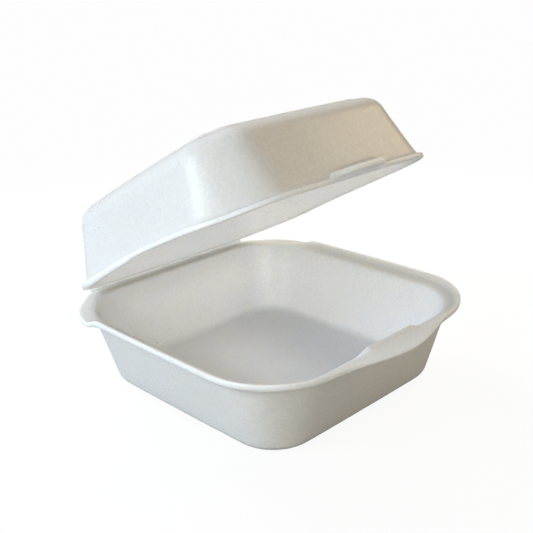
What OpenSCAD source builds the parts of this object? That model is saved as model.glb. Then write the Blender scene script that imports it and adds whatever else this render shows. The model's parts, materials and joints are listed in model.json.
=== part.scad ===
// Hinged burger box pressed from one moulded sheet: a square tray and a taller
// domed lid, joined by a thin web along the back of the rim.
// The tray stands on Z = 0, with the hinge at +Y and the closing tab at -Y.
// The lid is drawn open by lid_open, turned about the web's axis.

/* [Plan] */
// Width across the rim, side to side, in mm
rim_w = 150; // [130:1:170]
// Depth across the rim, hinge to front
rim_d = 154; // [134:1:174]
// Corner radius of the rim in plan
corner_r = 36.5; // [32:1:42]
// How far the middle of each rim side swells outward
rim_bow = 1; // [0:0.1:2]
// How far the middle of each side of the dome swells outward
dome_bow = 4; // [2:0.1:4.4]

/* [Heights] */
// Height of the plane where the two rims meet
tray_h = 39.2; // [34:0.2:46]
// Height of the dome above that plane
lid_h = 37.8; // [34:0.1:46]
// Thickness of the moulded sheet
sheet = 2.2; // [1.8:0.1:2.4]
// How far the tray's upturned lip rises above the meeting plane
lip_h = 2.4; // [2:0.1:2.8]
// Depth of the channel inside the lip below the meeting plane
channel_d = 1; // [0.8:0.1:1.4]
// Upright gap between the closed rims
rim_gap = 0.5; // [0.4:0.05:0.7]

/* [Walls] */
// How far the tray's wall stands inside the rim edge at the top
wall_in = 5.8; // [5.6:0.1:6.4]
// How far the tray's wall draws in on its way down to the floor
wall_taper = 10.8; // [9:0.1:12]
// Outer radius where the tray's wall turns into the floor
floor_r = 7; // [4:0.1:8]
// How far the dome's wall stands inside the rim edge at the bottom
dome_in = 7.2; // [7:0.1:8]
// How far the dome's wall draws in on its way up to the top
dome_taper = 10.4; // [9:0.1:12]
// Height of the rounded shoulder round the dome's top
shoulder_h = 10; // [7:0.5:12]
// Width of that shoulder in plan
shoulder_w = 12; // [7:0.5:13]
// Rise of the flat panel in the dome's top above the shoulder
panel_rise = 1.3; // [0.6:0.1:1.6]

/* [Front] */
// Half width of the flat pad in the tray's front rim
pad_half = 15; // [11:0.5:17]
// How far the middle of the pad stands to the right of the middle of the tray
pad_x = 2; // [-1:0.5:2.5]
// Length of the ramp at each end of the pad
pad_ramp = 5.5; // [5:0.5:9]
// How far the tray's tongue reaches past the rim
tongue = 8.4; // [6:0.1:10]
// Half width over which the tongue runs out into the rim
tongue_half = 42; // [36:1:50]
// How far the lid's tab reaches past the rim of the lid
tab_reach = 5; // [3:0.1:6]

/* [Hinge] */
// Angle that the lid stands open
lid_open = 27.9; // [5:1:120]
// Radius of the web between tray and lid
web_r = 0.6; // [0.5:0.05:0.7]
// Length of the web
web_len = 84; // [60:1:90]
// Gap between the web and the edge of the lid's rim
web_gap = 0.3; // [0.25:0.05:0.4]
// How far the hinge flange swells past the rim at the rear corners
ear = 1.3; // [0.8:0.1:1.6]

/* [Lid rim] */
// How far the lid's rim stands inside the outer edge of the tray's lip
nest_in = 4; // [3.8:0.1:4.2]
// How much further in the lid stands at the middle of its front corners
lid_trim = 1.8; // [0:0.1:2.4]
// How far the front of the lid's rim stands above the meeting plane
front_rise = 0.75; // [0:0.05:1]
// Further rise of the lid's side rim in front of the step in its underside
arch_front = 2.1; // [0:0.1:2.6]
// Rise of the lid's side rim behind that step
arch_rear = 1.9; // [0:0.1:2.4]

/* [Hidden] */
foam = "ghostwhite";
half_w = rim_w / 2;
half_d = rim_d / 2;
half_gap = rim_gap / 2;
// Centres of the corner arcs
corner_x = half_w - corner_r;
corner_y = half_d - corner_r;
// Lean of the walls, and the sheet measured level across them
tray_lean = atan(wall_taper / tray_h);
dome_lean = atan(dome_taper / lid_h);
tray_level = sheet / cos(tray_lean);
dome_level = sheet / cos(dome_lean);
// Turn of the rear corner arcs at which the lip steps down to the flat flange
step_turn = 5;
// Segments along a corner, a side, a fillet and the ramp of the pad
corner_n = 12;
side_n = 6;
fillet_n = 5;
ramp_n = 4;
// Depths between which the underside of the lid's side rim steps
lid_step = [3, 0];
// How much thicker the lid's rim is behind that step
heel = 0.85;
// Length over which each side arch dies out, behind and in front of the step
arch_span_rear = 38;
arch_span_front = 58;
// The tab lies over the pad with this upright gap
tab_gap = 0.35;
// How much thicker the tab is than the sheet
tab_extra = 0.4;
// Share of the tab's half width over which its corners round off
tab_round = 0.1;
// Radius of the small rounding at the rims' edges
edge_r = 0.45;
pad_end = pad_half + pad_ramp;
// Bottom of the channel in the tray's rim and top of its lip
channel = tray_h - channel_d;
lip_top = tray_h + lip_h;
// Length of the slope round the panel in the dome's top
panel_run = 1.2;
// Inset of the skirt that hangs from the tab, just inside the pad's inner edge
skirt_in = wall_in + 0.36 * sheet;
// Share of the tab's lift over which that skirt takes shape
skirt_share = 0.35;

function mix(a, b, t) = a + (b - a) * t;
function between(a, b, n) = [for (k = [1:n - 1]) mix(a, b, k / n)];
function backward(list) = [for (k = [len(list) - 1:-1:0]) list[k]];
function smooth(t) = t <= 0 ? 0 : t >= 1 ? 1 : t * t * (3 - 2 * t);

// A station is a place on the plan: a point on the inner rectangle and the
// direction outward from there
function corner(sx, sy, turns) =
    [for (t = turns) [[sx * corner_x, sy * corner_y], [sx * cos(t), sy * sin(t)]]];
function flank(sx, ys) = [for (y = ys) [[sx * corner_x, y], [sx, 0]]];
function end_side(sy, xs) = [for (x = xs) [[x, sy * corner_y], [0, sy]]];

rear_turns = concat([0, step_turn], between(step_turn, 90, corner_n), [90]);
front_turns = concat([0], between(0, 90, corner_n), [90]);
flank_ys = concat(between(-corner_y, lid_step[1], side_n), [lid_step[1], lid_step[0]],
    between(lid_step[0], corner_y, side_n - 1));
// Distances from the middle of the pad to its stations on one side
pad_steps = concat([pad_half / 3], between(pad_half * (1 - tab_round), pad_half, 3), [pad_half],
    between(pad_half, pad_end, ramp_n), [pad_end]);
front_xs = concat(
    between(-corner_x, pad_x - pad_end, 3),
    [for (d = backward(pad_steps)) pad_x - d], [pad_x], [for (d = pad_steps) pad_x + d],
    between(pad_x + pad_end, corner_x, 3));

// Every station, counter-clockwise in plan from the middle of the right side
stations = concat(
    flank(1, flank_ys),
    corner(1, 1, rear_turns),
    end_side(1, between(corner_x, -corner_x, side_n)),
    corner(-1, 1, backward(rear_turns)),
    flank(-1, backward(flank_ys)),
    corner(-1, -1, front_turns),
    end_side(-1, front_xs),
    corner(1, -1, backward(front_turns)));

function behind_step(s) = s[1][1] > 0.01;
function on_front(s) = s[1][1] < -0.9999;

// Share of the pad's section at a station on the front
function pad_share(s) = on_front(s) ? smooth((pad_end - abs(s[0][0] - pad_x)) / pad_ramp) : 0;

// Share of the pad's thin outer edge, which reaches further along the front
function eave_share(s) =
    on_front(s) ? smooth((corner_x - abs(s[0][0])) / (corner_x - pad_end)) : 0;

// How far the tray's rim reaches past its plain outline: the tongue in front
// and the ears at the rear corners
function tray_reach(s) =
    s[1][1] < 0 ? tongue * pow(max(0, 1 - pow(plan_point(s, 0, 0)[0] / tongue_half, 2)), 2) :
    behind_step(s) ? ear * abs(s[1][0]) : 0;

// Height of the underside of the lid's rim over the meeting plane, by depth
function lid_base(y) = half_gap + (
    y > lid_step[1] ? arch_rear * max(0, 1 - pow(y / arch_span_rear, 2)) :
    front_rise + arch_front * max(0, 1 - pow(y / arch_span_front, 2)));

// Height of the middle of the tray's front rim, from channel to pad
function front_top(s) = mix(-channel_d, lip_h, pad_share(s));

// Plan point of a station, inset from the outline, with the sides swollen
function plan_point(s, inset, bow) =
    let (p = s[0] + (corner_r - inset) * s[1],
        swell_x = 1 + bow / half_w * (1 - pow(p[1] / half_d, 2)),
        swell_y = p[1] > 0 ? 1 : 1 + bow / half_d * (1 - pow(p[0] / half_w, 2)))
    [p[0] * swell_x, p[1] * swell_y];

// A section row is [inset, height, share of the reach, bow]
function row_point(s, row, reach, trim = 0) =
    let (p = plan_point(s, row[0] - row[2] * reach + trim, row[3]))
    [p[0], p[1], row[1]];

// Extra inset of the lid round its front corners
function corner_trim(s) = s[1][1] < 0 ? lid_trim * 4 * pow(s[1][0] * s[1][1], 2) : 0;

function blend_rows(a, b, t) = [for (k = [0:len(a) - 1]) mix(a[k], b[k], t)];

// Insets of the faces of the tray's wall at height z
function tray_outer(z) = wall_in + wall_taper * (1 - z / tray_h);
function tray_inner(z) = tray_outer(z) + tray_level;

// Rows of the turn from floor to wall, about one centre for both faces
function tray_turn(radius) =
    let (centre = tray_outer(floor_r) + floor_r / cos(tray_lean))
    [for (k = [0:fillet_n]) let (t = mix(90, tray_lean, k / fillet_n))
        [centre - radius * cos(t), floor_r - radius * sin(t), 0, rim_bow]];

// Rows round an edge of the rim, from its upper to its lower rounding
function edge_rows(inset, top, bottom) = [
    [inset + edge_r, top, 1, rim_bow],
    [inset, top - edge_r, 1, rim_bow],
    [inset, bottom + edge_r, 1, rim_bow],
    [inset + edge_r, bottom, 1, rim_bow]];

// Rows of a level stretch of the rim's top, between two insets
function level_rows(from, to, z) =
    [for (k = [0:3]) [mix(from, to, k / 4), z, k / 4, rim_bow]];

// Rim section at the hinge: a flat flange
function tray_flange() = let (top = tray_h - half_gap, under = top - sheet) concat(
    [[tray_inner(tray_h - 1.3 * sheet), tray_h - 1.3 * sheet, 0, rim_bow],
     [tray_inner(tray_h), tray_h - 0.6 * sheet, 0, rim_bow],
     [wall_in + 0.6 * sheet, top - 0.1 * sheet, 0, rim_bow]],
    level_rows(wall_in - 0.1 * sheet, edge_r, top),
    edge_rows(0, top, under),
    [[wall_in / 2, under, 0.5, rim_bow],
     [wall_in - 0.2 * sheet, under - 0.15 * sheet, 0, rim_bow],
     [tray_outer(tray_h - 1.6 * sheet), tray_h - 1.6 * sheet, 0, rim_bow]]);

// Rim section along the sides and front: a channel with an upturned lip, in
// rows over the rim, round its outer edge and under it
function lip_over() =
    let (foot = channel - 1.2 * sheet)
    [[tray_inner(foot), foot, 0, rim_bow],
     [tray_inner(tray_h) + 0.15 * sheet, channel - 0.5 * sheet, 0, rim_bow],
     [wall_in + 0.75 * sheet, channel - 0.15 * sheet, 0, rim_bow],
     [wall_in, channel, 0, rim_bow],
     [1.75 * sheet, channel + 0.35 * sheet, 0, rim_bow],
     [1.15 * sheet, mix(channel, lip_top, 0.75), 0, rim_bow],
     [0.75 * sheet, lip_top, 0, rim_bow]];
function lip_edge() =
    [[edge_r, lip_top, 1, rim_bow],
     [0, lip_top - edge_r, 1, rim_bow],
     [0.1 * sheet, tray_h - 0.1 * sheet, 1, rim_bow],
     [0.5 * sheet, tray_h - 0.5 * sheet, 0.8, rim_bow]];
function lip_under() =
    [[0.55 * wall_in, channel - 0.6 * sheet, 0.35, rim_bow],
     [wall_in - 0.1 * sheet, channel - 1.05 * sheet, 0, rim_bow],
     [tray_outer(channel - 1.6 * sheet), channel - 1.6 * sheet, 0, rim_bow]];

// Rim section at the middle of the front: a flat pad at the lip's height
function pad_over() =
    [[tray_inner(tray_h - 0.7 * sheet), tray_h - 0.7 * sheet, 0, rim_bow],
     [tray_inner(tray_h) - 0.5 * sheet, tray_h + 0.25 * lip_h, 0, rim_bow],
     [wall_in + 0.25 * sheet, lip_top - 0.2 * sheet, 0, rim_bow],
     [wall_in, lip_top, 0, rim_bow],
     [1.75 * sheet, lip_top, 0, rim_bow],
     [1.15 * sheet, lip_top, 0, rim_bow],
     [0.75 * sheet, lip_top, 0, rim_bow]];
function pad_edge() = edge_rows(0, lip_top, lip_top - 0.78 * sheet);
function pad_under() =
    [[wall_in / 2, lip_top - sheet, 0.5, rim_bow],
     [wall_in - 0.2 * sheet, tray_h - 0.2 * sheet, 0, rim_bow],
     [tray_outer(tray_h - sheet), tray_h - sheet, 0, rim_bow]];

function tray_front(s) = concat(
    blend_rows(lip_over(), pad_over(), pad_share(s)),
    blend_rows(lip_edge(), pad_edge(), eave_share(s)),
    blend_rows(lip_under(), pad_under(), pad_share(s)));

function tray_section(s) = concat(
    tray_turn(floor_r - sheet),
    behind_step(s) ? tray_flange() : tray_front(s),
    backward(tray_turn(floor_r)));

// Insets of the faces of the dome's wall at height h over the meeting plane
function dome_outer(h) = dome_in + dome_taper * h / lid_h;
function dome_inner(h) = dome_outer(h) + dome_level;

// Rows of the dome's top, from its raised panel over the shoulder to the wall
function dome_shoulder(inset, top, w, h) = concat(
    [for (k = [0:2]) [inset + w + panel_run * (1.5 - k / 2), top + panel_rise * [1, 0.85, 0.15][k],
        0, dome_bow]],
    [for (k = [0:fillet_n]) let (t = mix(90, 0, k / fillet_n))
        [inset + w * (1 - cos(t)), top - h * (1 - sin(t)), 0, dome_bow]]);

// Rim of the lid: nested in the tray's lip, arched along the sides and thicker
// behind the step. In front it lifts over the pad, and a skirt stays below it
function lid_rim(s) =
    let (y = s[0][1],
        base = lid_base(plan_point(s, 0, 0)[1]),
        full = lip_h + tab_gap - base,
        lift = on_front(s) ? max(0, front_top(s) + tab_gap - base) : 0,
        under = base + lift,
        top = under + sheet + (y > lid_step[1] ? heel : 0) + tab_extra * lift / full,
        plain = [
            [dome_inner(base) - 0.9 * sheet, under, 0, dome_bow],
            [dome_inner(base) - 0.6 * sheet, base, 0, dome_bow],
            [dome_inner(base) - 0.15 * sheet, base + 0.25 * sheet, 0, dome_bow]],
        skirt = [
            [skirt_in, under, 0, rim_bow],
            [skirt_in + 0.35 * sheet, base, 0, rim_bow],
            [skirt_in + 0.85 * sheet, base + 0.1 * sheet, 0, rim_bow]]) concat(
    [[dome_outer(top + 0.5 * sheet), top + 0.5 * sheet, 0, dome_bow],
     [dome_outer(top) - 0.2 * sheet, top + 0.1 * sheet, 0, dome_bow]],
    edge_rows(nest_in, top, under),
    blend_rows(plain, skirt, min(1, lift / full / skirt_share)),
    [[dome_inner(under + 0.8 * sheet), under + 0.8 * sheet, 0, dome_bow]]);

// How far the edge of the lid's rim reaches past nest_in: the tab in front,
// and back to the web along the hinge
function lid_reach(s) =
    on_front(s) ? tab_reach * smooth((pad_half - abs(s[0][0] - pad_x)) / (pad_half * tab_round)) :
    behind_step(s) ? (nest_in - web_r - web_gap) * pow(s[1][1], 4) : 0;

function lid_section(s) =
    let (wall_top = lid_h - shoulder_h) concat(
    dome_shoulder(dome_outer(wall_top), lid_h, shoulder_w, shoulder_h),
    lid_rim(s),
    backward(dome_shoulder(dome_inner(wall_top), lid_h - sheet, shoulder_w - dome_level / 2,
        shoulder_h - sheet / 2)));

// Closed skin through the rows of every station, with flat ends
module loft(skin) {
    n = len(skin);
    m = len(skin[0]);
    points = [for (ring = skin) each ring];
    sides = [for (i = [0:n - 1], k = [0:m - 2])
        let (a = i * m + k, b = ((i + 1) % n) * m + k)
        each [[a, b, b + 1], [a, b + 1, a + 1]]];
    ends = [[for (i = [n - 1:-1:0]) i * m], [for (i = [0:n - 1]) i * m + m - 1]];
    polyhedron(points, concat(sides, ends), convexity = 6);
}

module base_tray() {
    color(foam) {
        loft([for (s = stations) let (reach = tray_reach(s))
            [for (row = tray_section(s)) row_point(s, row, reach)]]);
        translate([0, half_d, tray_h]) rotate([0, 90, 0])
            cylinder(r = web_r, h = web_len, center = true, $fn = 24);
    }
}

module lid() {
    color(foam)
        translate([0, half_d, tray_h]) rotate([-lid_open, 0, 0]) translate([0, -half_d, 0])
            loft([for (s = stations) let (reach = lid_reach(s), trim = corner_trim(s))
                [for (row = lid_section(s)) row_point(s, row, reach, trim)]]);
}

base_tray();
lid();
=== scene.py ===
import json
import math
from typing import NamedTuple

import bmesh
import bpy
from bpy.props import FloatProperty, FloatVectorProperty, PointerProperty
from bpy.types import Operator, Panel, PropertyGroup
from mathutils import Matrix, Vector, noise


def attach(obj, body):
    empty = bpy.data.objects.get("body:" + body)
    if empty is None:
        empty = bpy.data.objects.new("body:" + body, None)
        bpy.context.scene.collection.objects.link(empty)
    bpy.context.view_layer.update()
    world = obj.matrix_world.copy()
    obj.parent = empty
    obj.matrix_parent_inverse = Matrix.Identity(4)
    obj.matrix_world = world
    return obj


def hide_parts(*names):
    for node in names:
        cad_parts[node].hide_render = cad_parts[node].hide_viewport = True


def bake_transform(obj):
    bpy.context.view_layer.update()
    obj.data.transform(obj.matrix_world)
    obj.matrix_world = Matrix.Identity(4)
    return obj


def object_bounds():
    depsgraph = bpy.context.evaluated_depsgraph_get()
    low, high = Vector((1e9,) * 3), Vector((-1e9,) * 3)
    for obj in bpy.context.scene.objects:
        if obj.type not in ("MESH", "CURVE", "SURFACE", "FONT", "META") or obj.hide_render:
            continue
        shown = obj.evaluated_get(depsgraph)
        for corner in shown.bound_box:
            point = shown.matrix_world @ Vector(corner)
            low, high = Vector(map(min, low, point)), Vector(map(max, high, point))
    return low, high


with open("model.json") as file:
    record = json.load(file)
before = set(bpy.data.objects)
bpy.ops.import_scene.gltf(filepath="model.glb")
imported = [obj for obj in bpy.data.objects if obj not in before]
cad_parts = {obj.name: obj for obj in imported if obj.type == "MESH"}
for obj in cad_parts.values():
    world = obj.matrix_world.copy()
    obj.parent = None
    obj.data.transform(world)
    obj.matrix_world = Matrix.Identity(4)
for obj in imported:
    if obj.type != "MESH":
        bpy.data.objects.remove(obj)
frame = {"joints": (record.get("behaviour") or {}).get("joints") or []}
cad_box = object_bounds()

bl_info = {
    "name": "Hinged Burger Box",
    "version": (1, 0, 0),
    "blender": (4, 5, 0),
    "location": "View3D > Sidebar > Burger Box",
    "description": "Skins a hinged takeaway box as moulded foam and lights it on a plain floor",
    "category": "Object",
}

MM = 0.001

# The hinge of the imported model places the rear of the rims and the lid's rest angle
HINGE = next(j for j in frame["joints"] if j["name"] == "lid_hinge")
HINGE_Y, HINGE_Z = HINGE["pos_m"][1:]
REST_ANGLE = -math.radians(HINGE["range_deg"][0])

# Segments along a corner, a side, a fillet and the ramp of the pad
CORNER_SEGMENTS = 12
SIDE_SEGMENTS = 6
FILLET_SEGMENTS = 5
RAMP_SEGMENTS = 4
# Turn of the rear corners at which the tray's lip steps down to the hinge flange
STEP_TURN = 5
# Places along the depth between which the underside of the lid's side rim steps
LID_STEP_FRONT, LID_STEP_REAR = 0.0, 3 * MM
# Sizes to which the rings that close a floor or a top shrink, as shares
CAP_SHARES = (0.92, 0.72, 0.45, 0.18)
# Widths of the slow and the quick waves in which the walls wander, and the shift
# between their patterns
WANDER_SLOW, WANDER_QUICK = 26 * MM, 11 * MM
WANDER_SHIFT = Vector((7, 3, 5))
# Subdivisions that round every piece
ROUNDING_LEVELS = 2


def mix(a, b, t):
    return a + (b - a) * t


def smooth(t):
    t = min(1.0, max(0.0, t))
    return t * t * (3 - 2 * t)


def between(a, b, n):
    """The inner points of n equal steps from a to b."""
    return [mix(a, b, k / n) for k in range(1, n)]


def length(name, default, description):
    """A size in metres for a property group."""
    return FloatProperty(name=name, description=description, default=default, min=0.0,
                         unit="LENGTH", precision=4)


class Station(NamedTuple):
    """A place on the plan: a point on the inner rectangle and the way outward."""
    x: float
    y: float
    out_x: float
    out_y: float


class Row(NamedTuple):
    """A point of a section: inset from the outline, height, share of the reach, bow
    of the sides, and how much the point belongs to the rim's edge and to the inside."""
    inset: float
    height: float
    reach: float = 0.0
    bow: float = 0.0
    edge: float = 0.0
    inside: float = 0.0


def blend_rows(a, b, t):
    return [Row(*(mix(p, q, t) for p, q in zip(one, other))) for one, other in zip(a, b)]


def marked(rows, **marks):
    return [row._replace(**marks) for row in rows]


class BurgerBoxPlan(PropertyGroup):
    """Outline of the box seen from above, shared by tray and lid."""

    width: length("Width", 150 * MM, "Width across the rim, side to side")
    depth: length("Depth", 2 * HINGE_Y, "Depth across the rim, hinge to front")
    corner_radius: length("Corner radius", 36.5 * MM, "Corner radius of the rim in plan")
    rim_bow: length("Rim bow", 1 * MM, "How far the middle of each rim side swells outward")
    dome_bow: length("Dome bow", 4 * MM, "How far the sides of the dome swell outward")
    sheet: length("Sheet", 2.2 * MM, "Thickness of the moulded sheet")
    rim_gap: length("Rim gap", 0.5 * MM, "Upright gap between the closed rims")
    pad_half: length("Pad half width", 15 * MM, "Half width of the pad in the tray's front rim")
    pad_x: length("Pad offset", 2 * MM, "How far the pad stands to the right of the middle")
    pad_ramp: length("Pad ramp", 5.5 * MM, "Length of the ramp at each end of the pad")
    crease_half: length("Crease half width", 60 * MM,
                        "Half width of the crease, out to where the rims part from it")
    crease_fade: length("Crease fade", 9 * MM, "Length over which the rims part from the crease")
    lip_height: length("Lip height", 2.4 * MM, "Rise of the tray's lip over the meeting plane")
    channel_depth: length("Channel depth", 1 * MM, "Depth of the channel inside the lip")

    # Places between the middle of the pad and its corners, as shares of its half width
    PAD_SHARES = (0.25, 0.45, 0.6, 0.75)

    @property
    def corner_x(self):
        return self.width / 2 - self.corner_radius

    @property
    def corner_y(self):
        return self.depth / 2 - self.corner_radius

    @property
    def pad_end(self):
        return self.pad_half + self.pad_ramp

    def corner(self, side_x, side_y, turns):
        turns = [math.radians(t) for t in turns]
        return [Station(side_x * self.corner_x, side_y * self.corner_y,
                        side_x * math.cos(t), side_y * math.sin(t)) for t in turns]

    def flank(self, side, ys):
        return [Station(side * self.corner_x, y, side, 0.0) for y in ys]

    def end(self, side, xs):
        return [Station(x, side * self.corner_y, 0.0, side) for x in xs]

    def stations(self, tab_round):
        """Every station, counter-clockwise from the front of the right side. The rounded
        corners of the tab take up the share tab_round of its half width."""
        rear = [0, STEP_TURN, *between(STEP_TURN, 90, CORNER_SEGMENTS), 90]
        front = [0, *between(0, 90, CORNER_SEGMENTS), 90]
        side_ys = [*between(-self.corner_y, LID_STEP_FRONT, SIDE_SEGMENTS),
                   LID_STEP_FRONT, LID_STEP_REAR,
                   *between(LID_STEP_REAR, self.corner_y, SIDE_SEGMENTS - 1)]
        steps = [*(self.pad_half * k for k in self.PAD_SHARES),
                 *between(self.pad_half * (1 - tab_round), self.pad_half, 3), self.pad_half,
                 *between(self.pad_half, self.pad_end, RAMP_SEGMENTS), self.pad_end]
        front_xs = [*between(-self.corner_x, self.pad_x - self.pad_end, 3),
                    *(self.pad_x - d for d in reversed(steps)), self.pad_x,
                    *(self.pad_x + d for d in steps),
                    *between(self.pad_x + self.pad_end, self.corner_x, 3)]
        return [
            *self.flank(1, side_ys),
            *self.corner(1, 1, rear),
            *self.end(1, between(self.corner_x, -self.corner_x, SIDE_SEGMENTS)),
            *self.corner(-1, 1, rear[::-1]),
            *self.flank(-1, side_ys[::-1]),
            *self.corner(-1, -1, front),
            *self.end(-1, front_xs),
            *self.corner(1, -1, front[::-1]),
        ]

    def point(self, station, inset, bow):
        """Plan point of a station, inset from the outline, with the sides swollen."""
        x = station.x + (self.corner_radius - inset) * station.out_x
        y = station.y + (self.corner_radius - inset) * station.out_y
        swell_x = 1 + bow / (self.width / 2) * (1 - (2 * y / self.depth) ** 2)
        swell_y = 1 + bow / (self.depth / 2) * (1 - (2 * x / self.width) ** 2) if y <= 0 else 1
        return x * swell_x, y * swell_y

    def place(self, station, row, reach, trim=0.0):
        x, y = self.point(station, row.inset - row.reach * reach + trim, row.bow)
        return Vector((x, y, row.height))

    def edge_rows(self, inset, top, bottom, rounding):
        """Rows round an edge of the rim, from its upper to its lower rounding."""
        corners = ((inset + rounding, top), (inset, top - rounding),
                   (inset, bottom + rounding), (inset + rounding, bottom))
        return [Row(at, height, 1.0, self.rim_bow, 1.0) for at, height in corners]

    def to_crease(self, station):
        """How far a rim reaches past its rear corners to meet the crease, where tray and
        lid are one sheet almost out to their sides."""
        if not behind_step(station):
            return 0.0
        x = abs(self.point(station, 0.0, 0.0)[0])
        gap = self.corner_radius * (1 - station.out_y) / station.out_y
        return gap * smooth((self.crease_half - x) / self.crease_fade)

    def pad_share(self, station):
        """Share of the pad's section at a station on the front."""
        if not on_front(station):
            return 0.0
        return smooth((self.pad_end - abs(station.x - self.pad_x)) / self.pad_ramp)

    def eave_share(self, station):
        """Share of the pad's thin outer edge, which reaches further along the front."""
        if not on_front(station):
            return 0.0
        return smooth((self.corner_x - abs(station.x)) / (self.corner_x - self.pad_end))


def behind_step(station):
    return station.out_y > 0.01


def on_front(station):
    return station.out_y < -0.9999


class BurgerBoxTray(PropertyGroup):
    """The tray that stands on the table."""

    height: length("Height", HINGE_Z, "Height of the plane where the two rims meet")
    wall_in: length("Wall inset", 5.8 * MM, "How far the wall stands inside the rim edge")
    wall_taper: length("Wall taper", 10.8 * MM, "How far the wall draws in down to the floor")
    floor_radius: length("Floor radius", 7 * MM, "Outer radius where wall turns into floor")
    tongue: length("Tongue", 8.4 * MM, "How far the tongue reaches past the rim")
    tongue_half: length("Tongue half width", 42 * MM, "Half width over which the tongue runs out")
    ear: length("Ear", 1.3 * MM, "How far the hinge flange swells past the rear corners")
    edge_rounding: length("Edge rounding", 0.45 * MM, "Radius of the rounding at the rim's edge")
    unevenness: length("Unevenness", 0.22 * MM, "How far the foam walls wander from true")

    def lean(self):
        return math.atan(self.wall_taper / self.height)

    def outer(self, z):
        return self.wall_in + self.wall_taper * (1 - z / self.height)

    def inner(self, z, sheet):
        return self.outer(z) + sheet / math.cos(self.lean())

    def turn(self, radius, bow):
        """Rows of the turn from floor to wall, about one centre for both faces."""
        centre = self.outer(self.floor_radius) + self.floor_radius / math.cos(self.lean())
        rows = []
        for k in range(FILLET_SEGMENTS + 1):
            t = mix(math.pi / 2, self.lean(), k / FILLET_SEGMENTS)
            rows.append(Row(centre - radius * math.cos(t),
                            self.floor_radius - radius * math.sin(t), 0.0, bow))
        return rows

    def flange(self, plan):
        """Rim at the hinge: a flat flange."""
        s, bow = plan.sheet, plan.rim_bow
        top = self.height - plan.rim_gap / 2
        under = top - s
        start, stop = self.wall_in - 0.1 * s, self.edge_rounding
        level = [Row(mix(start, stop, k / 4), top, k / 4, bow) for k in range(4)]
        return [
            Row(self.inner(self.height - 1.3 * s, s), self.height - 1.3 * s, 0.0, bow, 0.0, 1.0),
            Row(self.inner(self.height, s), self.height - 0.6 * s, 0.0, bow, 0.0, 1.0),
            Row(self.wall_in + 0.6 * s, top - 0.1 * s, 0.0, bow, 0.5, 0.5),
            *level,
            *plan.edge_rows(0.0, top, under, self.edge_rounding),
            Row(self.wall_in / 2, under, 0.5, bow, 0.3),
            Row(self.wall_in - 0.2 * s, under - 0.15 * s, 0.0, bow),
            Row(self.outer(self.height - 1.6 * s), self.height - 1.6 * s, 0.0, bow),
        ]

    def lip(self, plan):
        """Rim along the sides and front: a channel with an upturned lip, in rows over
        the rim, round its outer edge and under it."""
        s, bow = plan.sheet, plan.rim_bow
        channel = self.height - plan.channel_depth
        top = self.height + plan.lip_height
        foot = channel - 1.2 * s
        over = [
            Row(self.inner(foot, s), foot, 0.0, bow, 0.0, 1.0),
            Row(self.inner(self.height, s) + 0.15 * s, channel - 0.5 * s, 0.0, bow, 0.0, 1.0),
            Row(self.wall_in + 0.75 * s, channel - 0.15 * s, 0.0, bow, 0.3, 0.7),
            Row(self.wall_in, channel, 0.0, bow, 0.2, 0.3),
            Row(1.75 * s, channel + 0.35 * s, 0.0, bow, 0.0, 0.0),
            Row(1.15 * s, mix(channel, top, 0.75), 0.0, bow, 0.4),
            Row(0.75 * s, top, 0.0, bow, 0.9),
        ]
        edge = [
            Row(self.edge_rounding, top, 1.0, bow, 1.0),
            Row(0.0, top - self.edge_rounding, 1.0, bow, 1.0),
            Row(0.1 * s, self.height - 0.1 * s, 1.0, bow, 0.8),
            Row(0.5 * s, self.height - 0.5 * s, 0.8, bow, 0.4),
        ]
        under = [
            Row(0.55 * self.wall_in, channel - 0.6 * s, 0.35, bow),
            Row(self.wall_in - 0.1 * s, channel - 1.05 * s, 0.0, bow),
            Row(self.outer(channel - 1.6 * s), channel - 1.6 * s, 0.0, bow),
        ]
        return over, edge, under

    def pad(self, plan):
        """Rim at the middle of the front: a flat pad at the lip's height."""
        s, bow = plan.sheet, plan.rim_bow
        top = self.height + plan.lip_height
        over = [
            Row(self.inner(self.height - 0.7 * s, s), self.height - 0.7 * s, 0.0, bow, 0.0, 1.0),
            Row(self.inner(self.height, s) - 0.5 * s, self.height + 0.25 * plan.lip_height,
                0.0, bow, 0.0, 1.0),
            Row(self.wall_in + 0.25 * s, top - 0.2 * s, 0.0, bow, 0.5, 0.6),
            Row(self.wall_in, top, 0.0, bow, 0.5),
            Row(1.75 * s, top, 0.0, bow),
            Row(1.15 * s, top, 0.0, bow),
            Row(0.75 * s, top, 0.0, bow, 0.4),
        ]
        edge = plan.edge_rows(0.0, top, top - 0.78 * s, self.edge_rounding)
        under = [
            Row(self.wall_in / 2, top - s, 0.5, bow, 0.3),
            Row(self.wall_in - 0.2 * s, self.height - 0.2 * s, 0.0, bow),
            Row(self.outer(self.height - s), self.height - s, 0.0, bow),
        ]
        return over, edge, under

    def section(self, plan, station):
        """Rows from the floor inside, over the rim and down to the floor outside."""
        if behind_step(station):
            rim = self.flange(plan)
        else:
            shares = (plan.pad_share(station), plan.eave_share(station), plan.pad_share(station))
            rim = [row for lip, pad, share in zip(self.lip(plan), self.pad(plan), shares)
                   for row in blend_rows(lip, pad, share)]
        inside = marked(self.turn(self.floor_radius - plan.sheet, plan.rim_bow), inside=1.0)
        return [*inside, *rim, *self.turn(self.floor_radius, plan.rim_bow)[::-1]]

    def reach(self, plan, station):
        """How far the rim reaches past its outline: tongue in front, ears behind."""
        if station.out_y < 0:
            x = plan.point(station, 0.0, 0.0)[0]
            return self.tongue * max(0.0, 1 - (x / self.tongue_half) ** 2) ** 2
        ear = self.ear * abs(station.out_x) if behind_step(station) else 0.0
        return max(ear, plan.to_crease(station))


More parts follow.
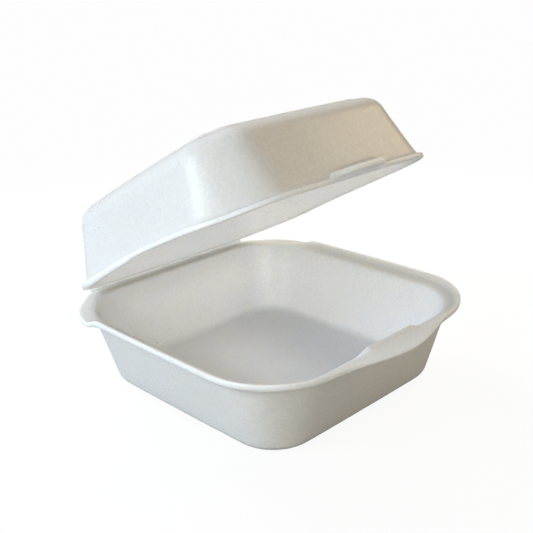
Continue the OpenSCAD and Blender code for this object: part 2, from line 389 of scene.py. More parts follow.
class BurgerBoxLid(PropertyGroup):
    """The domed lid, in its shut place until it is turned open."""

    height: length("Height", 37.8 * MM, "Height of the dome above the meeting plane")
    wall_in: length("Wall inset", 7.2 * MM, "How far the wall stands inside the rim edge")
    wall_taper: length("Wall taper", 10.4 * MM, "How far the wall draws in up to the top")
    shoulder_height: length("Shoulder height", 10 * MM, "Height of the rounded shoulder")
    shoulder_width: length("Shoulder width", 12 * MM, "Width of the shoulder in plan")
    panel_rise: length("Panel rise", 1.3 * MM, "Rise of the flat panel above the shoulder")
    nest_in: length("Nest inset", 4 * MM, "How far the rim stands inside the tray's lip")
    corner_trim: length("Corner trim", 1.8 * MM, "Further inset at the front corners")
    tab_reach: length("Tab reach", 5 * MM, "How far the tab reaches past the rim")
    tab_taper: length("Tab taper", 11 * MM, "Length over which the tab widens from its left end")
    tab_gap: length("Tab gap", 0.35 * MM, "Upright gap between the tab and the pad")
    tab_extra: length("Tab extra", 0.4 * MM, "How much thicker the tab is than the sheet")
    front_rise: length("Front rise", 0.75 * MM, "Rise of the front rim over the meeting plane")
    arch_front: length("Front arch", 2.1 * MM, "Further rise of the left rim before its step")
    arch_rear: length("Rear arch", 1.9 * MM, "Rise of the left rim behind its step")
    heel: length("Heel", 0.85 * MM, "How much thicker the rim is behind the step")
    edge_rounding: length("Edge rounding", 0.45 * MM, "Radius of the rounding at the rim's edge")
    unevenness: length("Unevenness", 0.3 * MM, "How far the foam walls wander from true")
    open_angle: FloatProperty(name="Open angle", description="Angle that the lid stands open",
                              default=REST_ANGLE, subtype="ANGLE", unit="ROTATION")

    # Length of the slope round the panel in the dome's top
    PANEL_RUN = 1.2 * MM
    # Lengths over which the side arches die out, behind and in front of the step
    REAR_SPAN = 38 * MM
    FRONT_SPAN = 58 * MM
    # Share of the tab's half width over which its corners round off
    TAB_ROUND = 0.1
    # Share of the tab's lift over which the skirt below it takes shape
    SKIRT_SHARE = 0.35

    def outer(self, h):
        return self.wall_in + self.wall_taper * h / self.height

    def level_sheet(self, sheet):
        return sheet / math.cos(math.atan(self.wall_taper / self.height))

    def inner(self, h, sheet):
        return self.outer(h) + self.level_sheet(sheet)

    def base(self, plan, x, y):
        """Height of the underside of the rim over the meeting plane, by place. Only the
        left side is arched."""
        if y > LID_STEP_FRONT:
            arch = self.arch_rear if x < 0 else self.front_rise
            rise = arch * max(0.0, 1 - (y / self.REAR_SPAN) ** 2)
        else:
            arch = self.arch_front if x < 0 else 0.0
            rise = self.front_rise + arch * max(0.0, 1 - (y / self.FRONT_SPAN) ** 2)
        return plan.rim_gap / 2 + rise

    def shoulder(self, plan, inset, top, width, height):
        """Rows of the top, from its raised panel over the shoulder to the wall."""
        rows = [Row(inset + width + self.PANEL_RUN * run, top + self.panel_rise * rise,
                    0.0, plan.dome_bow) for run, rise in ((1.5, 1.0), (1.0, 0.85), (0.5, 0.15))]
        for k in range(FILLET_SEGMENTS + 1):
            t = mix(math.pi / 2, 0.0, k / FILLET_SEGMENTS)
            rows.append(Row(inset + width * (1 - math.cos(t)),
                            top - height * (1 - math.sin(t)), 0.0, plan.dome_bow))
        return rows

    def rim(self, plan, tray, station):
        """Rim nested in the tray's lip, arched along the left side. In front it lifts
        over the pad, and a skirt stays below it."""
        s, bow = plan.sheet, plan.dome_bow
        base = self.base(plan, *plan.point(station, 0.0, 0.0))
        full = plan.lip_height + self.tab_gap - base
        front_top = mix(-plan.channel_depth, plan.lip_height, plan.pad_share(station))
        lift = max(0.0, front_top + self.tab_gap - base) if on_front(station) else 0.0
        under = base + lift
        heel = self.heel if station.y > LID_STEP_FRONT else 0.0
        top = under + s + heel + self.tab_extra * lift / full
        plain = [
            Row(self.inner(base, s) - 0.9 * s, under, 0.0, bow, 0.4, 0.8),
            Row(self.inner(base, s) - 0.6 * s, base, 0.0, bow, 0.2, 1.0),
            Row(self.inner(base, s) - 0.15 * s, base + 0.25 * s, 0.0, bow, 0.0, 1.0),
        ]
        skirt_in = tray.wall_in + 0.36 * s
        skirt = [
            Row(skirt_in, under, 0.0, plan.rim_bow, 0.4, 0.8),
            Row(skirt_in + 0.35 * s, base, 0.0, plan.rim_bow, 0.4, 1.0),
            Row(skirt_in + 0.85 * s, base + 0.1 * s, 0.0, plan.rim_bow, 0.2, 1.0),
        ]
        return [
            Row(self.outer(top + 0.5 * s), top + 0.5 * s, 0.0, bow),
            Row(self.outer(top) - 0.2 * s, top + 0.1 * s, 0.0, bow, 0.2),
            *plan.edge_rows(self.nest_in, top, under, self.edge_rounding),
            *blend_rows(plain, skirt, min(1.0, lift / full / self.SKIRT_SHARE)),
            Row(self.inner(under + 0.8 * s, s), under + 0.8 * s, 0.0, bow, 0.0, 1.0),
        ]

    def section(self, plan, tray, station):
        """Rows from the top outside, down and round the rim, and up inside."""
        s, wall_top = plan.sheet, self.height - self.shoulder_height
        outside = self.shoulder(plan, self.outer(wall_top), self.height,
                                self.shoulder_width, self.shoulder_height)
        inside = self.shoulder(plan, self.inner(wall_top, s), self.height - s,
                               self.shoulder_width - self.level_sheet(s) / 2,
                               self.shoulder_height - s / 2)
        return [*outside, *self.rim(plan, tray, station), *marked(inside, inside=1.0)[::-1]]

    def reach(self, plan, station, web_clear):
        """How far the rim's edge reaches past the nest: the tab in front, and back to
        the web along the hinge."""
        if on_front(station):
            left = (plan.pad_half + station.x - plan.pad_x) / self.tab_taper
            right = (plan.pad_half - station.x + plan.pad_x) / (plan.pad_half * self.TAB_ROUND)
            return self.tab_reach * min(smooth(left), smooth(right))
        if behind_step(station):
            return (self.nest_in - web_clear) * station.out_y ** 4 + plan.to_crease(station)
        return 0.0

    def trim(self, station):
        """Extra inset round the front corners."""
        if station.out_y >= 0:
            return 0.0
        return self.corner_trim * 4 * (station.out_x * station.out_y) ** 2


class BurgerBoxHinge(PropertyGroup):
    """The thin web that joins tray and lid."""

    web_radius: length("Web radius", 0.8 * MM, "Radius of the web's bead along the crease")
    web_clear: length("Web clearance", 0.9 * MM, "From the crease to the edge of the lid's rim")
    web_length: length("Web length", 106 * MM, "Length of the web")
    crimp_pitch: length("Crimp pitch", 3.5 * MM, "Distance between the fine crimps in the web")
    crimp_depth: length("Crimp depth", 0.12 * MM, "Depth of those crimps")


class BurgerBoxFoam(PropertyGroup):
    """Finish of the moulded foam, with painted shade on its outer faces and painted light on its
    inner faces.
    """

    cell_size: length("Cell size", 1.5 * MM, "Width of the pebbles in the foam's skin")
    cell_depth: length("Cell depth", 0.05 * MM, "Height of those pebbles")
    tray_depth: length("Light depth in tray", 2.6 * MM,
                       "How far light wanders inside the foam of the tray")
    lid_depth: length("Light depth in lid", 4 * MM,
                      "How far light wanders inside the foam of the lid, which glows through")
    speck_radius: length("Speck radius", 0.5 * MM, "Radius of the dark speck by the floor")
    # Outer faces get a darker, warmer colour than the foam's own white: painted shade and painted
    # warm light
    face_colour: FloatVectorProperty(
        name="Shaded face colour", description="Colour of the foam's outer faces",
        default=(0.79, 0.77, 0.735), size=3, min=0.0, max=1.0, subtype="COLOR")
    # Inner faces get a lighter colour than the outer ones: painted light, for the glow inside the
    # box
    inner_colour: FloatVectorProperty(
        name="Lit inner colour", description="Colour of the foam's inner faces",
        default=(0.985, 0.982, 0.988), size=3, min=0.0, max=1.0, subtype="COLOR")
    edge_colour: FloatVectorProperty(
        name="Edge colour", description="Colour of the pressed edges of the rims",
        default=(0.93, 0.92, 0.89), size=3, min=0.0, max=1.0, subtype="COLOR")


class BurgerBoxStage(PropertyGroup):
    """Floor, light and camera."""

    view_place: FloatVectorProperty(
        name="Camera place", description="Where the camera stands",
        default=(-0.27020, -0.27763, 0.20136), size=3, subtype="TRANSLATION", unit="LENGTH")
    view_turn: FloatProperty(name="Camera turn", description="Turn of the view from +Y",
                             default=math.radians(-44.11), subtype="ANGLE", unit="ROTATION")
    view_drop: FloatProperty(name="Camera drop", description="Angle of the view below level",
                             default=math.radians(20.50), subtype="ANGLE", unit="ROTATION")
    view_roll: FloatProperty(name="Camera roll", description="Roll of the camera",
                             default=math.radians(-1.905), subtype="ANGLE", unit="ROTATION")
    lens: FloatProperty(name="Lens", description="Focal length in millimetres, on a 36 mm sensor",
                        default=57.77)
    light_scale: FloatProperty(name="Light", description="Strength of all the lights, as a share",
                               default=1.0, min=0.0)
    sky_strength: FloatProperty(name="Sky", description="Strength of the light from all round",
                                default=0.13, min=0.0)


class BurgerBoxSettings(PropertyGroup):
    """Everything about the box that can be set."""

    plan: PointerProperty(type=BurgerBoxPlan)
    tray: PointerProperty(type=BurgerBoxTray)
    lid: PointerProperty(type=BurgerBoxLid)
    hinge: PointerProperty(type=BurgerBoxHinge)
    foam: PointerProperty(type=BurgerBoxFoam)
    stage: PointerProperty(type=BurgerBoxStage)


def wandered(point, station, row, height, amount):
    """The point moved a little inward, as foam walls are never quite true. They wander
    most at half height, and not at the rim's edge, the floor or the top."""
    wall = math.sin(math.pi * max(0.0, min(1.0, row.height / height))) * (1 - row.edge)
    wave = (noise.noise(point / WANDER_SLOW)
            + 0.5 * noise.noise(point / WANDER_QUICK + WANDER_SHIFT))
    inward = -Vector((station.out_x, station.out_y, 0.0))
    return point + inward * amount * wall * (0.5 + 0.5 * max(-1.0, min(1.0, wave)))


def finished_mesh(bm, name):
    """The finished mesh, smoothly shaded, with all its faces turned outward."""
    bmesh.ops.recalc_face_normals(bm, faces=bm.faces)
    for face in bm.faces:
        face.smooth = True
    mesh = bpy.data.meshes.new(name)
    bm.to_mesh(mesh)
    bm.free()
    return mesh


def loft(name, stations, section, place):
    """A closed shell through the section of every station, with each row where place
    puts it. Its two ends are closed over by copies of the end rows that shrink towards
    their middle."""
    bm = bmesh.new()
    edge = bm.verts.layers.float.new("rim_edge")
    inside = bm.verts.layers.float.new("inside")
    columns = []
    for station in stations:
        column = []
        for row in section(station):
            vert = bm.verts.new(place(station, row))
            vert[edge], vert[inside] = row.edge, row.inside
            column.append(vert)
        columns.append(column)
    for one, other in zip(columns, columns[1:] + columns[:1]):
        for k in range(len(one) - 1):
            bm.faces.new((one[k], one[k + 1], other[k + 1], other[k]))
    for end in (0, -1):
        loop = [column[end] for column in columns]
        middle = sum((v.co for v in loop), Vector()) / len(loop)
        border = loop
        for share in CAP_SHARES:
            inner = []
            for v in border:
                new = bm.verts.new(middle.lerp(v.co, share))
                new[inside] = v[inside]
                inner.append(new)
            for k in range(len(loop)):
                n = (k + 1) % len(loop)
                bm.faces.new((loop[k], loop[n], inner[n], inner[k]))
            loop = inner
        bm.faces.new(loop)
    return finished_mesh(bm, name)


def add_piece(name, mesh, material):
    """Puts the mesh in the scene as a piece with rounded, smoothly shaded surfaces."""
    piece = bpy.data.objects.new(name, mesh)
    bpy.context.scene.collection.objects.link(piece)
    mesh.materials.append(material)
    rounding = piece.modifiers.new("Rounding", "SUBSURF")
    rounding.levels = rounding.render_levels = ROUNDING_LEVELS
    return piece


# Kinds of sockets that the groups have
VALUE, VECTOR, COLOUR = "NodeSocketFloat", "NodeSocketVector", "NodeSocketColor"


def node_group(name, inputs, outputs):
    """A new shader node group with its named sockets. Returns it and its two ends."""
    group = bpy.data.node_groups.new(name, "ShaderNodeTree")
    for way, sockets in (("INPUT", inputs), ("OUTPUT", outputs)):
        for socket, kind in sockets:
            group.interface.new_socket(socket, in_out=way, socket_type=kind)
    return group, group.nodes.new("NodeGroupInput"), group.nodes.new("NodeGroupOutput")


def add_node(tree, kind, settings=(), **sockets):
    """A node with its settings, and with values or links given to its inputs. An input
    is named, with _ for a space, or is _ and its number."""
    node = tree.nodes.new(kind)
    for key, value in dict(settings).items():
        setattr(node, key, value)
    for key, value in sockets.items():
        name = key.replace("_", " ")
        socket = node.inputs[int(key[1:])] if key[1:].isdigit() else node.inputs[name]
        if isinstance(value, bpy.types.NodeSocket):
            tree.links.new(value, socket)
        else:
            socket.default_value = value
    return node


def math_node(tree, operation, a, b=0.0):
    return add_node(tree, "ShaderNodeMath", {"operation": operation}, _0=a, _1=b).outputs[0]


def vector_node(tree, operation, **sockets):
    return add_node(tree, "ShaderNodeVectorMath", {"operation": operation}, **sockets)


def scaled(tree, vector, size):
    """The vector measured in steps of the given size."""
    per_size = math_node(tree, "DIVIDE", 1.0, size)
    return vector_node(tree, "SCALE", Vector=vector, Scale=per_size).outputs["Vector"]


def ranged(tree, value, low, high, new_low, new_high):
    """The value taken smoothly from one range to another, and kept within it."""
    return add_node(tree, "ShaderNodeMapRange", {"interpolation_type": "SMOOTHSTEP"},
                    Value=value, From_Min=low, From_Max=high, To_Min=new_low,
                    To_Max=new_high).outputs["Result"]


def colour_mix(tree, factor, a, b):
    # The colour inputs of this node are numbers 6 and 7, and its colour output number 2
    return add_node(tree, "ShaderNodeMix", {"data_type": "RGBA"}, _0=factor, _6=a,
                    _7=b).outputs[2]


# Distances from a pebble's middle between which it falls away, in cells
PEBBLE_TOP, PEBBLE_FOOT = 0.05, 0.75
# Repeats per cell of the fine grain, of the slow waves and of the clouds
GRAIN_SCALE, WAVE_SCALE, CLOUD_SCALE = 2.3, 0.16, 0.05
# Heights of pebbles, grain and waves, as shares of the cell depth
PEBBLE_HEIGHT, GRAIN_HEIGHT, WAVE_HEIGHT = 0.55, 0.45, 1.6


def pebble_group():
    """Skin of moulded foam: flattened pebbles over fine grain and slow unevenness."""
    group, start, end = node_group(
        "Foam Pebbles",
        [("Vector", VECTOR), ("Cell Size", VALUE), ("Smoothness", VALUE)],
        [("Height", VALUE), ("Cells", VALUE), ("Cloud", VALUE)])
    at = scaled(group, start.outputs["Vector"], start.outputs["Cell Size"])
    cells = add_node(group, "ShaderNodeTexVoronoi", {"feature": "SMOOTH_F1"},
                     Vector=at, Scale=1.0, Smoothness=0.7).outputs["Distance"]
    pebble = ranged(group, cells, PEBBLE_TOP, PEBBLE_FOOT, 1.0, 0.0)
    grain = add_node(group, "ShaderNodeTexNoise", Vector=at, Scale=GRAIN_SCALE, Detail=3.0,
                     Roughness=0.6).outputs[0]
    wave = add_node(group, "ShaderNodeTexNoise", Vector=at, Scale=WAVE_SCALE,
                    Detail=2.0).outputs[0]
    pressed = math_node(group, "SUBTRACT", 1.0, start.outputs["Smoothness"])
    rough = math_node(group, "ADD", math_node(group, "MULTIPLY", pebble, PEBBLE_HEIGHT),
                      math_node(group, "MULTIPLY", grain, GRAIN_HEIGHT))
    height = math_node(group, "ADD", math_node(group, "MULTIPLY", rough, pressed),
                       math_node(group, "MULTIPLY", wave, WAVE_HEIGHT))
    cloud = add_node(group, "ShaderNodeTexNoise", Vector=at, Scale=CLOUD_SCALE,
                     Detail=4.0).outputs[0]
    group.links.new(height, end.inputs["Height"])
    group.links.new(pebble, end.inputs["Cells"])
    group.links.new(cloud, end.inputs["Cloud"])
    return group


# Share of the edge colour where a rim is fully pressed
EDGE_SHARE = 0.8
# Shade, roughness and coat of the skin, from the joins between the pebbles to their tops
CELL_SHADE, CELL_ROUGHNESS, CELL_COAT = (0.935, 1.0), (0.40, 0.28), (0.18, 0.42)
# What the slow clouds add to shade and roughness over their range
CLOUD_RANGE, CLOUD_SHADE, CLOUD_ROUGHNESS = (0.3, 0.7), (-0.025, 0.01), (0.05, -0.05)


def tone_group():
    """Colour, roughness and coat of the foam from its marks and its pebbles."""
    group, start, end = node_group(
        "Foam Tone",
        [("Cells", VALUE), ("Cloud", VALUE), ("Inside", VALUE), ("Edge", VALUE),
         ("Face Colour", COLOUR), ("Inner Colour", COLOUR), ("Edge Colour", COLOUR)],
        [("Color", COLOUR), ("Roughness", VALUE), ("Coat", VALUE)])
    got = start.outputs
    # Outer faces take the darker, warmer colour and inner faces the lighter one: painted shade and
    # painted light on one white foam
    side = colour_mix(group, got["Inside"], got["Face Colour"], got["Inner Colour"])
    edge = math_node(group, "MULTIPLY", got["Edge"], EDGE_SHARE)
    base = colour_mix(group, edge, side, got["Edge Colour"])
    shade = math_node(group, "ADD", ranged(group, got["Cells"], 0.0, 1.0, *CELL_SHADE),
                      ranged(group, got["Cloud"], *CLOUD_RANGE, *CLOUD_SHADE))
    tinted = vector_node(group, "SCALE", Vector=base, Scale=shade).outputs["Vector"]
    rough = math_node(group, "ADD", ranged(group, got["Cells"], 0.2, 1.0, *CELL_ROUGHNESS),
                      ranged(group, got["Cloud"], *CLOUD_RANGE, *CLOUD_ROUGHNESS))
    coat = ranged(group, got["Cells"], 0.4, 1.0, *CELL_COAT)
    group.links.new(tinted, end.inputs["Color"])
    group.links.new(rough, end.inputs["Roughness"])
    group.links.new(coat, end.inputs["Coat"])
    return group


def speck_group():
    """A soft-edged spot round a place, for a speck of dust."""
    group, start, end = node_group(
        "Speck",
        [("Vector", VECTOR), ("Place", VECTOR), ("Radius", VALUE)],
        [("Mask", VALUE)])
    away = vector_node(group, "DISTANCE", _0=start.outputs["Vector"],
                       _1=start.outputs["Place"]).outputs["Value"]
    share = math_node(group, "DIVIDE", away, start.outputs["Radius"])
    group.links.new(ranged(group, share, 0.6, 1.2, 1.0, 0.0), end.inputs["Mask"])
    return group


def shared_group(name, build):
    return bpy.data.node_groups.get(name) or build()


# Where the dark speck sits, at the foot of the tray's rear wall, and its colour
SPECK_PLACE = (-25.9 * MM, 59.4 * MM, 6.2 * MM)
SPECK_COLOUR = (0.36, 0.34, 0.32, 1.0)
# Share of a rim's edge mark that flattens its pebbles
PRESSED_SHARE = 0.7
# Reach of red, green and blue light in the foam, as shares of its light depth
LIGHT_REACH = (1.0, 0.92, 0.8)


def foam_material(name, foam, light_depth, smoothness=0.0, speck=False):
    """Satin white foam. Smoothness flattens the pebbles, as where the foam is pressed."""
    material = bpy.data.materials.new(name)
    material.use_nodes = True
    tree = material.node_tree
    shader = tree.nodes["Principled BSDF"]
    place = tree.nodes.new("ShaderNodeTexCoord").outputs["Object"]
    edge = add_node(tree, "ShaderNodeAttribute", {"attribute_name": "rim_edge"}).outputs["Fac"]
    inside = add_node(tree, "ShaderNodeAttribute", {"attribute_name": "inside"}).outputs["Fac"]
    pressed = math_node(tree, "MAXIMUM", math_node(tree, "MULTIPLY", edge, PRESSED_SHARE),
                        smoothness)

    pebbles = add_node(tree, "ShaderNodeGroup",
                       {"node_tree": shared_group("Foam Pebbles", pebble_group)},
                       Vector=place, Cell_Size=foam.cell_size, Smoothness=pressed)
    # The inside mark picks the lighter inner colour, which is painted light, over the darker outer
    # one, which is painted shade
    tone = add_node(tree, "ShaderNodeGroup",
                    {"node_tree": shared_group("Foam Tone", tone_group)},
                    Cells=pebbles.outputs["Cells"], Cloud=pebbles.outputs["Cloud"],
                    Inside=inside, Edge=edge, Face_Colour=(*foam.face_colour, 1.0),
                    Inner_Colour=(*foam.inner_colour, 1.0), Edge_Colour=(*foam.edge_colour, 1.0))
    colour = tone.outputs["Color"]
    if speck:
        spot = add_node(tree, "ShaderNodeGroup",
                        {"node_tree": shared_group("Speck", speck_group)},
                        Vector=place, Place=SPECK_PLACE, Radius=foam.speck_radius)
        colour = colour_mix(tree, spot.outputs["Mask"], colour, SPECK_COLOUR)
    bump = add_node(tree, "ShaderNodeBump", Strength=1.0, Distance=foam.cell_depth,
                    Height=pebbles.outputs["Height"])
    tree.links.new(colour, shader.inputs["Base Color"])
    tree.links.new(tone.outputs["Roughness"], shader.inputs["Roughness"])
    tree.links.new(tone.outputs["Coat"], shader.inputs["Coat Weight"])
    tree.links.new(bump.outputs["Normal"], shader.inputs["Normal"])
    shader.inputs["IOR"].default_value = 1.5
    shader.inputs["Coat Roughness"].default_value = 0.2
    shader.inputs["Subsurface Weight"].default_value = 1.0
    shader.inputs["Subsurface Radius"].default_value = LIGHT_REACH
    shader.inputs["Subsurface Scale"].default_value = light_depth
    return material


class BURGERBOX_OT_tray(Operator):
    """Build the tray's foam shell over its solid"""

    bl_idname = "burgerbox.tray"
    bl_label = "Build Tray"

    def execute(self, context):
        box = context.scene.burger_box
        plan, tray = box.plan, box.tray

        def section(station):
            return tray.section(plan, station)

        def place(station, row):
            point = plan.place(station, row, tray.reach(plan, station))
            return wandered(point, station, row, tray.height, tray.unevenness)

        mesh = loft("tray_shell", plan.stations(box.lid.TAB_ROUND), section, place)
        material = foam_material("tray_foam", box.foam, box.foam.tray_depth, speck=True)
        piece = add_piece("tray_shell", mesh, material)
        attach(piece, "base")
        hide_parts("base_tray")
        return {"FINISHED"}


class BURGERBOX_OT_lid(Operator):
    """Build the lid's foam shell over its solid, turned open about the hinge"""

    bl_idname = "burgerbox.lid"
    bl_label = "Build Lid"

    def execute(self, context):
        box = context.scene.burger_box
        plan, tray, lid = box.plan, box.tray, box.lid
        axle = Vector((0.0, HINGE_Y, HINGE_Z))
        turn = Matrix.Rotation(-lid.open_angle, 3, "X")

        def section(station):
            return lid.section(plan, tray, station)

        def place(station, row):
            reach = lid.reach(plan, station, box.hinge.web_clear)
            point = plan.place(station, row, reach, lid.trim(station))
            point = wandered(point, station, row, lid.height, lid.unevenness)
            shut = point + Vector((0.0, 0.0, tray.height))
            return axle + turn @ (shut - axle)

        mesh = loft("lid_shell", plan.stations(lid.TAB_ROUND), section, place)
        material = foam_material("lid_foam", box.foam, box.foam.lid_depth)
        piece = add_piece("lid_shell", mesh, material)
        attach(piece, "lid")
        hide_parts("lid")
        return {"FINISHED"}


class BURGERBOX_OT_hinge_web(Operator):
    """Build the crimped web along the crease between tray and lid"""

    bl_idname = "burgerbox.hinge_web"
    bl_label = "Build Hinge Web"

    ROUND_SEGMENTS = 16
    SEGMENTS_PER_CRIMP = 6
    # Share of the radius that is left at the rounded ends
    END_SHARE = 0.3
    # How much the web is pressed, as its edge mark and as smoothness of its skin
    EDGE_MARK, SMOOTHNESS = 0.5, 0.6
    # Way across the web, from the side of the tray's flange to the side of the lid's rim
    ACROSS = Vector((0.0, 0.3, 1.0)).normalized()

    def execute(self, context):
        box = context.scene.burger_box
        hinge = box.hinge
        steps = round(hinge.web_length / hinge.crimp_pitch * self.SEGMENTS_PER_CRIMP)
        bm = bmesh.new()
        edge = bm.verts.layers.float.new("rim_edge")
        rings = []
        for k in range(steps + 1):
            x = mix(-hinge.web_length / 2, hinge.web_length / 2, k / steps)
            crimp = 0.5 - 0.5 * math.cos(2 * math.pi * x / hinge.crimp_pitch)
            end_room = (hinge.web_length / 2 - abs(x)) / hinge.web_radius
            rounding = math.sqrt(1 - (1 - min(1.0, end_room)) ** 2)
            radius = (hinge.web_radius - hinge.crimp_depth * crimp) * max(self.END_SHARE, rounding)
            ring = []
            for j in range(self.ROUND_SEGMENTS):
                t = 2 * math.pi * j / self.ROUND_SEGMENTS
                vert = bm.verts.new((x, HINGE_Y + radius * math.cos(t),
                                     HINGE_Z + radius * math.sin(t)))
                vert[edge] = self.EDGE_MARK
                ring.append(vert)
            rings.append(ring)
        for one, other in zip(rings, rings[1:]):
            for j in range(self.ROUND_SEGMENTS):
                n = (j + 1) % self.ROUND_SEGMENTS
                bm.faces.new((one[j], one[n], other[n], other[j]))
        for ring in (rings[0], rings[-1]):
            bm.faces.new(ring)
        material = foam_material("web_foam", box.foam, box.foam.lid_depth, self.SMOOTHNESS)
        piece = add_piece("hinge_web", finished_mesh(bm, "hinge_web"), material)
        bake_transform(piece)
        return {"FINISHED"}


class SoftLight(NamedTuple):
    """A round area light: where it stands, its width in metres, its watts and colour,
    and whether it lights the foam and shows in its gloss."""
    name: str
    place: tuple
    size: float
    power: float
    colour: tuple
    diffuse: bool = True
    gloss: bool = True


def add_light(spec, target, scale):
    light = bpy.data.lights.new(spec.name, "AREA")
    light.shape = "DISK"
    light.size = spec.size
    light.energy = spec.power * scale
    light.color = spec.colour
    lamp = bpy.data.objects.new(spec.name, light)
    lamp.location = spec.place
    aim = Vector(target) - Vector(spec.place)
    lamp.rotation_euler = aim.to_track_quat("-Z", "Y").to_euler()
    lamp.visible_diffuse = spec.diffuse
    lamp.visible_glossy = spec.gloss
    bpy.context.scene.collection.objects.link(lamp)


# Colour of the floor as light sees it, and of the faint warm sky
FLOOR_COLOUR = (0.35, 0.345, 0.335, 1.0)
SKY_COLOUR = (1.0, 0.70, 0.48, 1.0)
# White of the background, a shade under full white
WHITE, WHITE_STRENGTH = (1.0, 1.0, 1.0, 1.0), 0.985
# Distances from the middle over which the floor fades to that white, the share of
# white at the box, and its strength there
FADE_FROM, FADE_TO = 0.12, 0.5
NEAR_SHARE, NEAR_STRENGTH = 0.75, 1.22


def seen_directly(tree):
    """1 for rays from the camera, so that the white around the box adds no light."""
    return tree.nodes.new("ShaderNodeLightPath").outputs["Is Camera Ray"]


def floor_material():
    """Pale floor that fades to white away from the object, and keeps its shadow."""
    material = bpy.data.materials.new("studio_floor")
    material.use_nodes = True
    tree = material.node_tree
    tree.nodes.clear()
    place = tree.nodes.new("ShaderNodeTexCoord").outputs["Object"]
    away = vector_node(tree, "LENGTH", Vector=place).outputs["Value"]
    glow = ranged(tree, away, FADE_FROM, FADE_TO, NEAR_SHARE, 1.0)
    share = math_node(tree, "MULTIPLY", glow, seen_directly(tree))
    # Brighter where it is thinner, so that floor and white together stay white
    strength = ranged(tree, away, FADE_FROM, FADE_TO, NEAR_STRENGTH, WHITE_STRENGTH)
    matt = add_node(tree, "ShaderNodeBsdfDiffuse", Color=FLOOR_COLOUR)
    white = add_node(tree, "ShaderNodeEmission", Color=WHITE, Strength=strength)
    both = add_node(tree, "ShaderNodeMixShader", _0=share, _1=matt.outputs[0],
                    _2=white.outputs[0])
    out = tree.nodes.new("ShaderNodeOutputMaterial")
    tree.links.new(both.outputs[0], out.inputs["Surface"])
    return material


def studio_world(strength):
    """White where it is seen, and a faint warm sky as light."""
    world = bpy.data.worlds.new("studio_world")
    world.use_nodes = True
    tree = world.node_tree
    tree.nodes.clear()
    sky = add_node(tree, "ShaderNodeBackground", Color=SKY_COLOUR, Strength=strength)
    white = add_node(tree, "ShaderNodeBackground", Color=WHITE, Strength=WHITE_STRENGTH)
    both = add_node(tree, "ShaderNodeMixShader", _0=seen_directly(tree), _1=sky.outputs[0],
                    _2=white.outputs[0])
    out = tree.nodes.new("ShaderNodeOutputWorld")
    tree.links.new(both.outputs[0], out.inputs["Surface"])
    return world


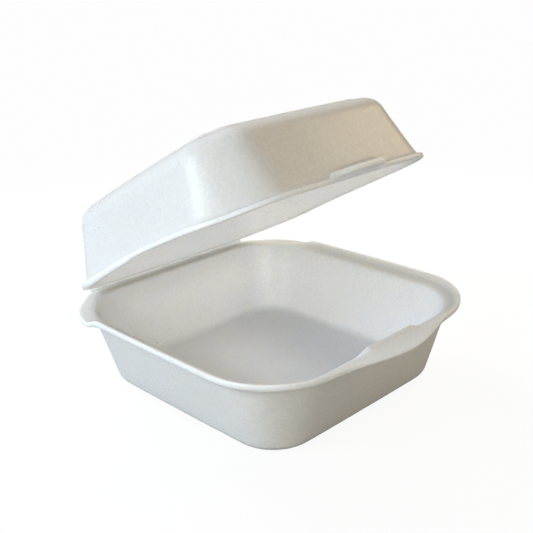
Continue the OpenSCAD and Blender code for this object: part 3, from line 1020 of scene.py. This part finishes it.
class BURGERBOX_OT_stage(Operator):
    """Set the floor, the soft lights, the white background and the camera"""

    bl_idname = "burgerbox.stage"
    bl_label = "Set Stage"

    FLOOR_HALF = 6.0
    FLOOR_DROP = 0.05 * MM
    SENSOR_WIDTH = 36.0
    # Middle of the box, at which every light is aimed
    TARGET = (0.0, 0.0, 0.06)
    # The window stands behind on the left, its glint on the lid's near corner comes from
    # further forward, and the back light glows through the lid
    LIGHTS = (
        SoftLight("window_light", (-0.88, 0.50, 0.42), 0.45, 6.0, (0.59, 0.76, 1.0), gloss=False),
        SoftLight("glint_light", (-0.98, 0.19, 0.40), 0.42, 6.0, (0.70, 0.85, 1.0), diffuse=False),
        SoftLight("left_light", (-1.05, 0.05, 0.50), 0.8, 5.8, (0.81, 0.93, 1.0)),
        SoftLight("front_light", (-0.75, -0.95, 0.35), 0.7, 5.1, (0.96, 1.0, 0.95)),
        SoftLight("right_light", (0.93, 0.32, 0.40), 0.6, 5.6, (0.90, 0.98, 1.0), gloss=False),
        SoftLight("warm_light", (0.95, -0.35, 0.55), 0.7, 3.6, (1.0, 0.82, 0.54)),
        SoftLight("back_light", (0.10, 0.90, 0.75), 0.7, 9.8, (0.92, 0.97, 1.0), gloss=False),
    )

    def execute(self, context):
        stage = context.scene.burger_box.stage
        mesh = bpy.data.meshes.new("studio_floor")
        half = self.FLOOR_HALF
        mesh.from_pydata([(-half, -half, 0), (half, -half, 0), (half, half, 0), (-half, half, 0)],
                         [], [(0, 1, 2, 3)])
        mesh.materials.append(floor_material())
        floor = bpy.data.objects.new("studio_floor", mesh)
        floor.location.z = cad_box[0][2] - self.FLOOR_DROP
        context.scene.collection.objects.link(floor)

        for spec in self.LIGHTS:
            add_light(spec, self.TARGET, stage.light_scale)
        context.scene.world = studio_world(stage.sky_strength)

        camera = bpy.data.objects.new("photo_camera", bpy.data.cameras.new("photo_camera"))
        camera.data.lens = stage.lens
        camera.data.sensor_width = self.SENSOR_WIDTH
        turned = (Matrix.Rotation(stage.view_turn, 4, "Z")
                  @ Matrix.Rotation(math.pi / 2 - stage.view_drop, 4, "X")
                  @ Matrix.Rotation(stage.view_roll, 4, "Z"))
        camera.matrix_world = Matrix.Translation(stage.view_place) @ turned
        context.scene.collection.objects.link(camera)
        context.scene.camera = camera
        context.scene.view_settings.view_transform = "Standard"
        return {"FINISHED"}


class BURGERBOX_PT_sidebar(Panel):
    """Sizes and finishes of the box, with a button for each piece"""

    bl_idname = "BURGERBOX_PT_sidebar"
    bl_label = "Burger Box"
    bl_space_type = "VIEW_3D"
    bl_region_type = "UI"
    bl_category = "Burger Box"

    def draw(self, context):
        box = context.scene.burger_box
        for title, operator, groups in (
                ("Tray", BURGERBOX_OT_tray, (box.plan, box.tray, box.foam)),
                ("Lid", BURGERBOX_OT_lid, (box.lid,)),
                ("Hinge web", BURGERBOX_OT_hinge_web, (box.hinge,)),
                ("Stage", BURGERBOX_OT_stage, (box.stage,))):
            column = self.layout.box().column()
            column.label(text=title)
            for group in groups:
                for name in group.__annotations__:
                    column.prop(group, name)
            column.operator(operator.bl_idname)


CLASSES = (
    BurgerBoxPlan, BurgerBoxTray, BurgerBoxLid, BurgerBoxHinge, BurgerBoxFoam, BurgerBoxStage,
    BurgerBoxSettings, BURGERBOX_OT_tray, BURGERBOX_OT_lid, BURGERBOX_OT_hinge_web,
    BURGERBOX_OT_stage, BURGERBOX_PT_sidebar,
)


def register():
    for cls in CLASSES:
        bpy.utils.register_class(cls)
    bpy.types.Scene.burger_box = PointerProperty(type=BurgerBoxSettings)


def unregister():
    del bpy.types.Scene.burger_box
    for cls in reversed(CLASSES):
        bpy.utils.unregister_class(cls)


def main():
    register()
    bpy.ops.burgerbox.tray()
    bpy.ops.burgerbox.lid()
    bpy.ops.burgerbox.hinge_web()
    bpy.ops.burgerbox.stage()


if __name__ == "__main__":
    main()
